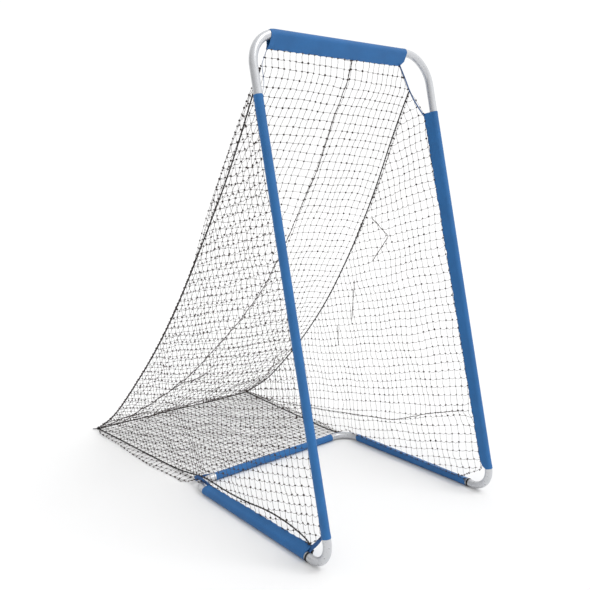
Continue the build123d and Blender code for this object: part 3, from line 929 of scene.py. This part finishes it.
def back_patch(across, down):
    """The smooth surface of the back net between the band, its edge ropes and the ground."""
    top_left = Vector((EDGE_ROPE["left"][0][0], BAND_EDGE.y, BAND_EDGE.z))
    top_right = Vector((EDGE_ROPE["right"][0][0], BAND_EDGE.y, BAND_EDGE.z))
    lift = 0.035
    if down < lift:
        left = top_left.lerp(border("left", 0), down / lift)
        right = top_right.lerp(border("right", 0), down / lift)
    else:
        left = border("left", (down - lift) / (1 - lift))
        right = border("right", (down - lift) / (1 - lift))
    straight = left.lerp(right, across)
    rear = routes()["rear_rope"].at(across)
    base = border("left", 1).lerp(border("right", 1), across)
    return straight + (rear - base) * down ** 6


def back_place(across, down, is_knot):
    """A point of the back net, with its swell, creases and slack."""
    edge = min(across, 1 - across)
    depth = 0.0
    if edge > 0:
        metres = [([(u, v * NET_DROP) for u, v in points], width, strength)
                  for points, width, strength in BACK_CREASES]
        across, down, depth = gather(metres, across, down * NET_DROP)
        across, down = min(max(across, 0.002), 0.998), min(max(down / NET_DROP, 0), 1)
    point = back_patch(across, down)
    swell = 1 - (1 - 2 * across) ** 4
    if down < 0.62:
        bulge = 0.040 * math.sin(math.pi * down / 0.62)
    else:
        bulge = -0.020 * math.sin(math.pi * (down - 0.62) / 0.38)
    normal = Vector((0, 0.75, 0.66))
    point += normal * (bulge * swell - 0.026 * depth * math.sin(math.pi * min(1, down * 1.02)))
    slack = (0.005 + 0.013 * down) * min(1, edge * 12) * min(1, down * 10 + 0.2)
    point += wander(point, 9.0, 3) * slack
    if not is_knot:
        point += wander(point, 60.0, 11) * 0.0045
    name = "left" if point.x < 0 else "right"
    if point.z > EDGE_ROPE[name][0][2]:
        limit = tape_limit(name, point.z)
        point.x = min(max(point.x, -limit), limit)
    point.z = max(point.z, 0.006)
    return point


BAND_REACH = {"left": -TOP_LEFT, "right": TOP_RIGHT - 0.020}


def tape_limit(name, height):
    """How far out the back net reaches beside a corner tape."""
    top = EDGE_ROPE[name][0]
    share = min(max((BAND_EDGE.z - height) / (BAND_EDGE.z - top[2]), 0), 1)
    return BAND_REACH[name] + (abs(top[0]) - BAND_REACH[name]) * share


def cut_corner(across, down):
    """Whether a place of the back net is outside the corner tapes."""
    point = back_patch(across, down)
    name = "left" if point.x < 0 else "right"
    return point.z > EDGE_ROPE[name][0][2] and abs(point.x) > tape_limit(name, point.z)


def inside_outline(points, y, z):
    """Whether (y, z) is inside a closed outline."""
    inside = False
    for (y1, z1), (y2, z2) in zip(points, points[1:] + points[:1]):
        if (z1 > z) != (z2 > z) and y < (y2 - y1) * (z - z1) / (z2 - z1) + y1:
            inside = not inside
    return inside


SKIRT = {"left": [(0.95, -0.020), (0.75, -0.038), (0.34, -0.070), (0.06, -0.055), (-0.03, 0.02)],
         "right": [(0.95, -0.010), (0.50, -0.025), (0.17, -0.030), (0.03, -0.010), (-0.03, 0.03)]}


def side_outline(name):
    """The side net's outline, seen from the side and unfolded where it lies on the ground."""
    rope = [(point.y, point.z) for point in
            (border(name, step / 40) for step in range(41))]
    low, high = flap_tip(name, LEG_START[name]), flap_tip(name, LEG_END[name])
    sleeve_z = SLEEVE_RADIUS + GROUND_FLAP * math.sin(QUARTER)
    return ([(low.y, low.z), (high.y, high.z)] + rope + SKIRT[name]
            + [(GROUND_REAR, sleeve_z), (GROUND_FRONT + 0.03, sleeve_z)])


def side_width(name, y, z):
    """How far from the middle the side net stands at a place."""
    height = max(z, 0.0)
    front = flap_tip(name, min(max((height - SLEEVE_RADIUS) / math.cos(LEAN), LEG_START[name]),
                               LEG_END[name]))
    rope = routes()[f"edge_rope_{name}"].at_height(height)
    swell = outward_swell(1 - height / 2.0) * 0.9
    share = min(max((y - front.y) / max(rope.y - front.y, 0.01), 0), 1)
    width = abs(front.x) + (abs(rope.x) + swell - abs(front.x)) * share
    low = abs(Route(GROUND_ROPE[name]).at(min(max((1.026 - y) / 1.934, 0), 1)).x)
    on_flap = HALF_WIDTH - GROUND_FLAP * math.cos(QUARTER)
    low = on_flap + (low - on_flap) * min(1, max(0, (y - GROUND_REAR) / 0.25))
    hug = math.exp(-(height / 0.22) ** 2) * min(1, max(0, 8 * (1 - share)))
    return width + (low - width) * hug


def side_net(name):
    """A side net: rows square to the leg, cut along its rope, its margin lying on the ground."""
    side = SIDES[name]
    sizes = bpy.context.scene.kicking_net_sizes
    outline = side_outline(name)
    deep, tall = 2.08, LEG_END[name] + 0.16
    columns, rows = round(deep / sizes.mesh_width), round(tall / sizes.mesh_height)
    widths = {}

    def flat(back, climb):
        along = climb * tall - 0.04
        tip = flap_tip(name, min(max(along, LEG_START[name]), LEG_END[name]))
        start = FOOT[name] + LEG_UP * along
        y = start.y + (tip - FOOT[name] - LEG_UP * (tip - FOOT[name]).dot(LEG_UP)).y
        z = start.z + LEG_BACK.z * (tip - FOOT[name]).dot(LEG_BACK)
        spread = back * deep
        sag = 0.020 * math.sin(math.pi * min(1, back * 1.6))
        return y + LEG_BACK.y * spread, z + LEG_BACK.z * spread - sag

    def outside(back, climb):
        return not inside_outline(outline, *flat(back, climb))

    def place(back, climb, is_knot):
        y, z, depth = gather(SIDE_FOLDS[name], *flat(back, climb))
        loose = 1.0
        if not inside_outline(outline, y, z):
            y, z = nearest_on(outline, y, z)
            loose = 0.0
        key = (round(y, 3), round(z, 3))
        if key not in widths:
            widths[key] = side_width(name, y, z)
        rest = 0.006 + 0.036 * min(1, max(0, (0.03 - y) / 0.08))
        lay_out = max(0.0, rest - z)
        x = widths[key] + lay_out
        height = max(z, rest - max(0, lay_out - 0.05) * 0.6)
        point = Vector((side * (x - 0.012 * depth), y, max(height, 0.004)))
        soft = loose * min(1, max(0, z) * 6 + 0.15)
        push = wander(point, 6.0, 5 + side)
        point += Vector((push.x * 0.016, push.y * 0.010, push.z * 0.010)) * soft
        if not is_knot:
            push = wander(point, 55.0, 17)
            point += push * 0.0065 * loose
            point.z -= (0.0062 if name == "left" else 0.0040) * soft
        return point

    return knotted_net(f"net_{name}_twine", columns, rows, place, outside, [f"net_{name}"])


def floor_net():
    """The floor net: lying slack between the rear bar, the ground ropes and the rear rope."""
    sizes = bpy.context.scene.kicking_net_sizes
    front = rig.box("net_floor")[0].y
    columns, rows = 29, 27
    left, right = (Route(GROUND_ROPE[name]) for name in SIDES)

    def edge_x(route, y):
        for first, second in zip(route.points, route.points[1:]):
            if second.y <= y <= first.y:
                return first.x + (second.x - first.x) * (first.y - y) / (first.y - second.y)
        return route.points[0].x

    def place(across, back, is_knot):
        rear = routes()["rear_rope"].at(across).y
        y = front + (rear - front) * back
        x = edge_x(left, y) + (edge_x(right, y) - edge_x(left, y)) * across
        edge = min(across, 1 - across, back, 1 - back)
        loose = min(1, edge * 8)
        point = Vector((x, y, 0.003))
        push = wander(point, 4.0, 41) * 0.030 + wander(point, 12.0, 23) * 0.016
        point += Vector((push.x, push.y, 0)) * loose
        point.z += abs(push.z) * 0.45 * loose
        if not is_knot:
            push = wander(point, 50.0, 29)
            point += Vector((push.x * 0.007, push.y * 0.007, abs(push.z) * 0.003)) * loose
        return point

    knotted_net("net_floor_twine", columns, rows, place, lambda u, v: False, ["net_floor"])


def crease_cords():
    """Twine bunched along each crease and fold, two strands laid together."""
    def laid(line, radius, offset):
        strands = []
        route = Route(line)
        steps = max(12, round(route.length / 0.008))
        for start in (0, math.pi):
            strand = []
            for step in range(steps + 1):
                angle = start + math.tau * step * route.length / steps / 0.028
                push = wander(route.at(step / steps), 40.0, 51 + start) * 0.0025
                strand.append(route.at(step / steps) + push
                              + Vector((math.cos(angle), 0.3, math.sin(angle))) * offset)
            strands.append(strand)
        return strands

    lines = []
    for points, width, strength in BACK_CREASES:
        route = Route([(u, v, 0) for u, v in points])
        lines += laid([back_place(*route.at(step / 60).xy, True) for step in range(61)],
                      0, 0.0012 * strength / 0.8)
    for name, side in SIDES.items():
        for points, width, strength in SIDE_FOLDS[name]:
            line = []
            route = Route([(y, z, 0) for y, z in points])
            for step in range(25):
                y, z = route.at(step / 24).xy
                line.append(Vector((side * (side_width(name, y, z) - 0.012 * strength), y,
                                    max(z, 0.010))))
            lines += laid(line, 0, 0.0010)
    piece = curve_mesh("net_crease_cords", lines, 0.00125)
    smooth(piece, 80)
    return finish_piece(piece, finish("twine"), "net_twine")


def ring_shape(radius, thickness, around=7, section=4):
    """A small ring of twine."""
    deselect()
    bpy.ops.mesh.primitive_torus_add(major_radius=radius, minor_radius=thickness,
                                     major_segments=around, minor_segments=section)
    return bpy.context.object


def lashings():
    """Twine tied round the ropes and round the sleeves' flaps, one tie to each mesh."""
    sizes = bpy.context.scene.kicking_net_sizes
    draw = random.Random(sizes.seed)

    def turned(way, tilt):
        base = Vector(way).to_track_quat("Z", "Y").to_matrix()
        lean = Matrix.Rotation(draw.uniform(-tilt, tilt), 3, "X")
        return base @ Matrix.Rotation(draw.uniform(0, math.tau), 3, "Z") @ lean

    on_ropes = []
    for route in routes().values():
        count = round(route.length / (sizes.mesh_height * 0.7))
        for step in range(count):
            share = (step + 0.5 + draw.uniform(-0.2, 0.2)) / count
            on_ropes.append((turned(route.way(share), 0.5), route.at(share)))
    shape = ring_shape(sizes.rope / 2 + 0.0004, 0.0012)
    piece = copies("rope_ties", shape, on_ropes)
    remove(shape)
    smooth(piece, 80)
    finish_piece(piece, finish("twine"), "net_twine")

    on_flaps = []
    for name in SIDES:
        run = LEG_END[name] - LEG_START[name]
        count = round(run / (sizes.mesh_height * 0.6))
        for step in range(count):
            along = LEG_START[name] + run * (step + 0.5 + draw.uniform(-0.2, 0.2)) / count
            tip = flap_tip(name, along) - LEG_FLAP_WAY[name] * 0.0025
            on_flaps.append((turned(LEG_UP, 0.5), tip))
        run = GROUND_REAR - GROUND_FRONT
        count = round(run / sizes.mesh_width)
        for step in range(count):
            tip = Vector((FOOT[name].x, GROUND_FRONT + run * (step + 0.5) / count, SLEEVE_RADIUS))
            on_flaps.append((turned(BACK, 0.5), tip + GROUND_FLAP_WAY[name]
                             * (GROUND_FLAP - 0.0025)))
    shape = ring_shape(0.0044, 0.0009)
    piece = copies("flap_ties", shape, on_flaps)
    remove(shape)
    smooth(piece, 80)
    finish_piece(piece, finish("twine"), "net_twine")


# ---------------------------------------------------------------- operators

class KICKNET_OT_stage(bpy.types.Operator):
    """Floor, light and camera"""
    bl_idname = "kicknet.stage"
    bl_label = "Stage"

    def execute(self, context):
        scene = context.scene
        deselect()
        bpy.ops.mesh.primitive_plane_add(size=60)
        floor = context.object
        floor.name = "studio_floor"
        material, tree, shader, node = new_material("studio_white")
        shader.inputs["Base Color"].default_value = (0.90, 0.90, 0.90, 1)
        shader.inputs["Roughness"].default_value = 0.9
        shader.inputs["Specular IOR Level"].default_value = 0.1
        floor.data.materials.append(material)
        bpy.ops.mesh.primitive_plane_add(size=120, location=(16, 20, 0))
        backdrop = context.object
        backdrop.name = "studio_backdrop"
        backdrop.rotation_euler = (math.radians(90), 0, math.radians(-39))
        bpy.ops.object.transform_apply(location=True, rotation=True, scale=True)
        material, tree, shader, node = new_material("studio_backdrop_white")
        shader.inputs["Base Color"].default_value = (0, 0, 0, 1)
        shader.inputs["Emission Color"].default_value = (1, 1, 1, 1)
        shader.inputs["Emission Strength"].default_value = 1.0
        backdrop.data.materials.append(material)
        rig.stage(floor, backdrop)
        world = bpy.data.worlds.new("studio_world")
        world.use_nodes = True
        nodes, links = world.node_tree.nodes, world.node_tree.links
        facing = nodes.new("ShaderNodeTexCoord")
        nodes["Background"].inputs["Color"].default_value = (1, 1, 1, 1)
        dot = nodes.new("ShaderNodeVectorMath")
        dot.operation = "DOT_PRODUCT"
        dot.inputs[1].default_value = (0.62, -0.45, 0.64)
        links.new(facing.outputs["Generated"], dot.inputs[0])
        level = nodes.new("ShaderNodeMapRange")
        level.inputs["From Min"].default_value = -1.0
        level.inputs["To Min"].default_value = 0.30
        level.inputs["To Max"].default_value = 1.20
        links.new(dot.outputs["Value"], level.inputs["Value"])
        links.new(level.outputs["Result"], nodes["Background"].inputs["Strength"])
        scene.world = world
        bpy.ops.object.light_add(type="SUN", rotation=(math.radians(30), math.radians(22), 0))
        context.object.name = "key_sun"
        context.object.data.energy = 0.85
        context.object.data.angle = math.radians(24)
        azimuth, elevation = math.radians(-39.1637), math.radians(9.9441)
        roll = math.radians(-0.7089)
        forward = Vector((-math.sin(azimuth) * math.cos(elevation),
                          math.cos(azimuth) * math.cos(elevation), -math.sin(elevation)))
        right = forward.cross(UP).normalized()
        above = right.cross(forward)
        turned_right = right * math.cos(roll) + above * math.sin(roll)
        turned_up = above * math.cos(roll) - right * math.sin(roll)
        turn = Matrix((turned_right, turned_up, -forward)).transposed()
        bpy.ops.object.camera_add(location=(-2.13285, -2.82963, 1.51828),
                                  rotation=turn.to_euler())
        camera = context.object
        camera.data.lens = 41.895
        camera.data.sensor_width = 36
        scene.camera = camera
        scene.view_settings.view_transform = "Standard"
        return {"FINISHED"}


class KICKNET_OT_frame_finish(bpy.types.Operator):
    """Silver coat on the tubes, bare steel on the buttons and springs"""
    bl_idname = "kicknet.frame_finish"
    bl_label = "Frame finish"

    def execute(self, context):
        for name, node in frame["nodes"].items():
            if "tube" in name:
                material = finish("tube")
            elif name == "button_springs":
                material = finish("steel")
            elif name.startswith("button_"):
                material = finish("button")
            else:
                material = finish("rope")
            node.data.materials.clear()
            node.data.materials.append(material)
        return {"FINISHED"}


class KICKNET_OT_sleeves(bpy.types.Operator):
    """Blue cloth sleeves over the straight runs"""
    bl_idname = "kicknet.sleeves"
    bl_label = "Sleeves"

    def execute(self, context):
        cloth_sleeve("top_sleeve", ["top_corner_tube_left", "top_corner_tube_right"],
                     TOP_CENTRE + ACROSS * TOP_LEFT, ACROSS,
                     TOP_RIGHT - TOP_LEFT, TOP_FLAP_WAY, (TOP_FLAP, TOP_FLAP), (-0.006, 0.022),
                     over_bend=-TOP_HALF - TOP_LEFT)
        cloth_sleeve("rear_sleeve", ["rear_corner_tube_left", "rear_corner_tube_right"],
                     REAR_CENTRE - ACROSS * REAR_HALF, ACROSS, 2 * REAR_HALF, REAR_FLAP_WAY, (REAR_FLAP, REAR_FLAP))
        for name in SIDES:
            wider = 0.010 if name == "left" else 0.0
            cloth_sleeve(f"leg_sleeve_{name}", [f"leg_tube_{name}", f"foot_tube_{name}"],
                         FOOT[name] + LEG_UP * LEG_START[name], LEG_UP,
                         LEG_END[name] - LEG_START[name], LEG_FLAP_WAY[name],
                         (LEG_FLAP_LOW + wider, LEG_FLAP_HIGH), (0.012, 0.0),
                         taper=0.28 if name == "right" else 0.06)
            start = Vector((FOOT[name].x, GROUND_FRONT, SLEEVE_RADIUS))
            cloth_sleeve(f"ground_sleeve_{name}", [f"foot_tube_{name}", f"rear_corner_tube_{name}"],
                         start, BACK, GROUND_REAR - GROUND_FRONT, GROUND_FLAP_WAY[name],
                         (GROUND_FLAP + wider, GROUND_FLAP),
                         (0.006, 0.010))
        return {"FINISHED"}


class KICKNET_OT_stitching(bpy.types.Operator):
    """Rows of stitches along the sleeves' flaps"""
    bl_idname = "kicknet.stitching"
    bl_label = "Stitching"

    def execute(self, context):
        sizes = context.scene.kicking_net_sizes
        deselect()
        bpy.ops.mesh.primitive_ico_sphere_add(subdivisions=1, radius=0.5)
        shape = context.object
        for vertex in shape.data.vertices:
            vertex.co = (vertex.co.x * sizes.stitch * 0.85, vertex.co.y * 0.0009,
                         vertex.co.z * 0.0006)
        placings = []
        for first, last, facing in stitch_rows():
            run = last - first
            way = run.normalized()
            turn = Matrix((way, facing.cross(way), facing)).transposed()
            count = int(run.length / (sizes.stitch * 1.25))
            for step in range(count):
                placings.append((turn, first + run * ((step + 0.5) / count)))
        piece = copies("sleeve_stitches", shape, placings)
        remove(shape)
        finish_piece(piece, finish("stitch"), "sleeve_fabric")
        return {"FINISHED"}


class KICKNET_OT_ropes(bpy.types.Operator):
    """Three-strand edge, ground and rear ropes"""
    bl_idname = "kicknet.ropes"
    bl_label = "Ropes"

    def execute(self, context):
        for name in SIDES:
            twisted_rope(f"edge_rope_{name}", ACROSS)
            twisted_rope(f"ground_rope_{name}", ACROSS)
        twisted_rope("rear_rope", UP)
        return {"FINISHED"}


class KICKNET_OT_knots(bpy.types.Operator):
    """Knots that join the ropes, and the cord wound round the frame's front ends"""
    bl_idname = "kicknet.knots"
    bl_label = "Knots and rings"

    def execute(self, context):
        sizes = context.scene.kicking_net_sizes
        for name, side in SIDES.items():
            low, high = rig.box(f"corner_knot_{name}")
            centre = (low + high) / 2
            loop, tail = knot_line(centre, (0.3 * side, 0.6, 0.2), 0.0105,
                                   Vector((side * 0.030, 0.014, -0.002)))
            knot = curve_mesh(f"corner_knot_{name}_cord", [loop], sizes.rope * 0.42, 2, True)
            end = curve_mesh(f"corner_tail_{name}", [tail], sizes.rope * 0.40, 2)
            activate(knot, end)
            bpy.ops.object.join()
            knot = context.object
            smooth(knot, 80)
            finish_piece(knot, finish("rope"), "rope_cord", f"corner_knot_{name}")

            low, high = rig.box(f"front_knot_{name}")
            centre = (low + high) / 2
            loop, tail = knot_line(centre, (0.2 * side, 1.0, 0.3), 0.0085,
                                   Vector((side * 0.006, -0.012, -0.5 * centre.z)))
            knot = curve_mesh(f"front_knot_{name}_cord", [loop], 0.0022, 2, True)
            end = curve_mesh(f"front_tail_{name}", [tail], 0.0020, 2)
            activate(knot, end)
            bpy.ops.object.join()
            knot = context.object
            smooth(knot, 80)
            finish_piece(knot, finish("rope"), "rope_cord", f"front_knot_{name}")

            low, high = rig.box(f"rope_ring_{name}")
            middle = (low + high) / 2
            turns, steps = 4, 96
            radius = TUBE_RADIUS + 0.0013
            winding = []
            for step in range(steps + 1):
                share = step / steps
                angle = math.tau * turns * share
                winding.append(Vector((middle.x + math.cos(angle) * radius,
                                       low.y + (high.y - low.y) * (0.1 + 0.8 * share),
                                       middle.z + math.sin(angle) * radius)))
            ring = curve_mesh(f"rope_ring_{name}_winding", [winding], 0.0012, 2)
            smooth(ring, 80)
            finish_piece(ring, finish("rope"), "rope_cord", f"rope_ring_{name}")
        return {"FINISHED"}


def ribbon(node, tied, points, ways, width):
    """A flat woven tape along a smooth line, its width turning from one way to the next."""
    sizes = bpy.context.scene.kicking_net_sizes
    route = route_of(points)
    turns = Route([Vector(way) for way in ways]) if len(ways) > 1 else None

    def place(across, along):
        wide = (turns.at(along) if turns else Vector(ways[0])).normalized()
        way = route.way(along)
        wide = (wide - way * wide.dot(way)).normalized()
        return route.at(along) + wide * width * (across - 0.5)

    piece = grid_sheet(f"{node}_ribbon", 6, max(20, round(route.length / 0.004)), place)
    for corner in piece.data.uv_layers.active.data:
        corner.uv = (corner.uv[0] * width, corner.uv[1] * route.length)
    apply_modifier(piece, "SOLIDIFY", thickness=sizes.cloth * 1.2, offset=0)
    smooth(piece)
    finish_piece(piece, finish("tape"), "tape_fabric", node)
    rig.sheet(piece, flat=(width, route.length), held="stretched", rests_on=tied)
    return piece


class KICKNET_OT_tapes(bpy.types.Operator):
    """Blue binding tapes across the corners"""
    bl_idname = "kicknet.tapes"
    bl_label = "Corner tapes"

    def execute(self, context):
        width = context.scene.kicking_net_sizes.tape_width
        floor_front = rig.box("net_floor")[0].y
        left_end = flap_tip("left", LEG_END["left"] - 0.010)
        ribbon("corner_tape_top_left", ["top_sleeve", "leg_sleeve_left"],
               [BAND_EDGE + ACROSS * (TOP_LEFT + 0.004) - TOP_FLAP_WAY * 0.012,
                (-0.440, -0.576, 1.975), (-0.455, -0.580, 1.938), (-0.452, -0.590, 1.888),
                (-0.462, -0.600, 1.852), left_end], [BACK + ACROSS * 0.7], width)
        rope_top = Vector(EDGE_ROPE["right"][0])
        right_end = flap_tip("right", LEG_END["right"] - 0.010)
        start = BAND_EDGE + ACROSS * (TOP_RIGHT - 0.026) - TOP_FLAP_WAY * 0.012
        ribbon("corner_tape_top_right", ["top_sleeve", "leg_sleeve_right"],
               [start, start.lerp(rope_top, 0.5) + ACROSS * 0.006, rope_top + UP * 0.01,
                rope_top.lerp(right_end, 0.5) - ACROSS * 0.006, right_end],
               [BACK + ACROSS * 0.7], width)
        ground_end = Vector((FOOT["left"].x, GROUND_REAR, SLEEVE_RADIUS))
        ground_end += GROUND_FLAP_WAY["left"] * (GROUND_FLAP - 0.004)
        past = Vector((ground_end.x, REAR_CENTRE.y, ground_end.z + 0.010))
        outer = Vector((-HALF_WIDTH + 0.020, REAR_CENTRE.y + 0.040, 0.018))
        rear_end = Vector((-REAR_HALF, floor_front, 0.014))
        ribbon("corner_tape_rear_left", ["ground_sleeve_left", "net_floor"],
               [ground_end - BACK * 0.012, ground_end.lerp(past, 0.4), past, outer,
                outer.lerp(rear_end, 0.5) + UP * 0.006, rear_end + ACROSS * 0.012],
               [UP, UP, BACK + UP, UP], width)
        reach = SLEEVE_RADIUS + 0.0016
        ribbon("corner_tape_rear_right", ["ground_sleeve_right", "rear_corner_tube_right"],
               [(HALF_WIDTH + reach, GROUND_REAR - 0.012, 0.0198),
                (HALF_WIDTH + reach - 0.003, GROUND_REAR + 0.030, 0.020),
                (0.525, -0.074, 0.0205), (0.479, -0.028, 0.0215), (0.430, -0.010, 0.019),
                (REAR_HALF - 0.012, floor_front + 0.003, 0.014)], [UP], width)
        leg_end = flap_tip("left", LEG_START["left"] + 0.015)
        front = Vector((FOOT["left"].x, GROUND_FRONT, SLEEVE_RADIUS))
        front_end = front + GROUND_FLAP_WAY["left"] * (GROUND_FLAP - 0.002)
        middle = (leg_end + front_end) * 0.5 - (BACK + UP) * 0.004
        tail = front + Vector((-0.014, -0.014, -0.008))
        ribbon("corner_tape_foot_left", ["leg_sleeve_left", "ground_sleeve_left"], [leg_end, middle, front_end, front_end.lerp(tail, 0.5)
                                         + Vector((-0.010, -0.004, 0.006)), tail],
               [BACK + ACROSS * 0.6, BACK + ACROSS * 0.6, BACK - UP * 0.3], width)
        return {"FINISHED"}


class KICKNET_OT_nets(bpy.types.Operator):
    """Knotted back, side and floor nets"""
    bl_idname = "kicknet.nets"
    bl_label = "Nets"

    def execute(self, context):
        sizes = context.scene.kicking_net_sizes
        knotted_net("net_back_twine", round(1.04 / sizes.mesh_width),
                    round(NET_DROP / sizes.mesh_height), back_place, cut_corner, ["net_back"])
        for name in SIDES:
            side_net(name)
        floor_net()
        crease_cords()
        lashings()
        return {"FINISHED"}


STEPS = (KICKNET_OT_stage, KICKNET_OT_frame_finish, KICKNET_OT_ropes, KICKNET_OT_knots,
         KICKNET_OT_sleeves, KICKNET_OT_stitching, KICKNET_OT_tapes, KICKNET_OT_nets)


class KICKNET_PT_panel(bpy.types.Panel):
    """The kicking net's steps, sizes and colours"""
    bl_idname = "KICKNET_PT_panel"
    bl_label = "Kicking Net"
    bl_space_type = "VIEW_3D"
    bl_region_type = "UI"
    bl_category = "Kicking Net"

    def draw(self, context):
        for step in STEPS:
            self.layout.operator(step.bl_idname)
        for group in (context.scene.kicking_net_sizes, context.scene.kicking_net_colours):
            box = self.layout.box()
            for name in group.__annotations__:
                box.prop(group, name)


CLASSES = (NetSizes, NetColours, *STEPS, KICKNET_PT_panel)


def register():
    for item in CLASSES:
        bpy.utils.register_class(item)
    bpy.types.Scene.kicking_net_sizes = PointerProperty(type=NetSizes)
    bpy.types.Scene.kicking_net_colours = PointerProperty(type=NetColours)


def unregister():
    del bpy.types.Scene.kicking_net_colours
    del bpy.types.Scene.kicking_net_sizes
    for item in reversed(CLASSES):
        bpy.utils.unregister_class(item)


def main():
    """Build every piece in order and write the two boxes' sizes."""
    register()
    for step in STEPS:
        group, action = step.bl_idname.split(".")
        getattr(getattr(bpy.ops, group), action)()
    made_box = [list(corner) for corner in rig.bounds()]
    with open("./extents.json", "w") as out:
        json.dump({"cad": CAD_BOX, "made": made_box}, out)


if __name__ == "__main__":
    main()
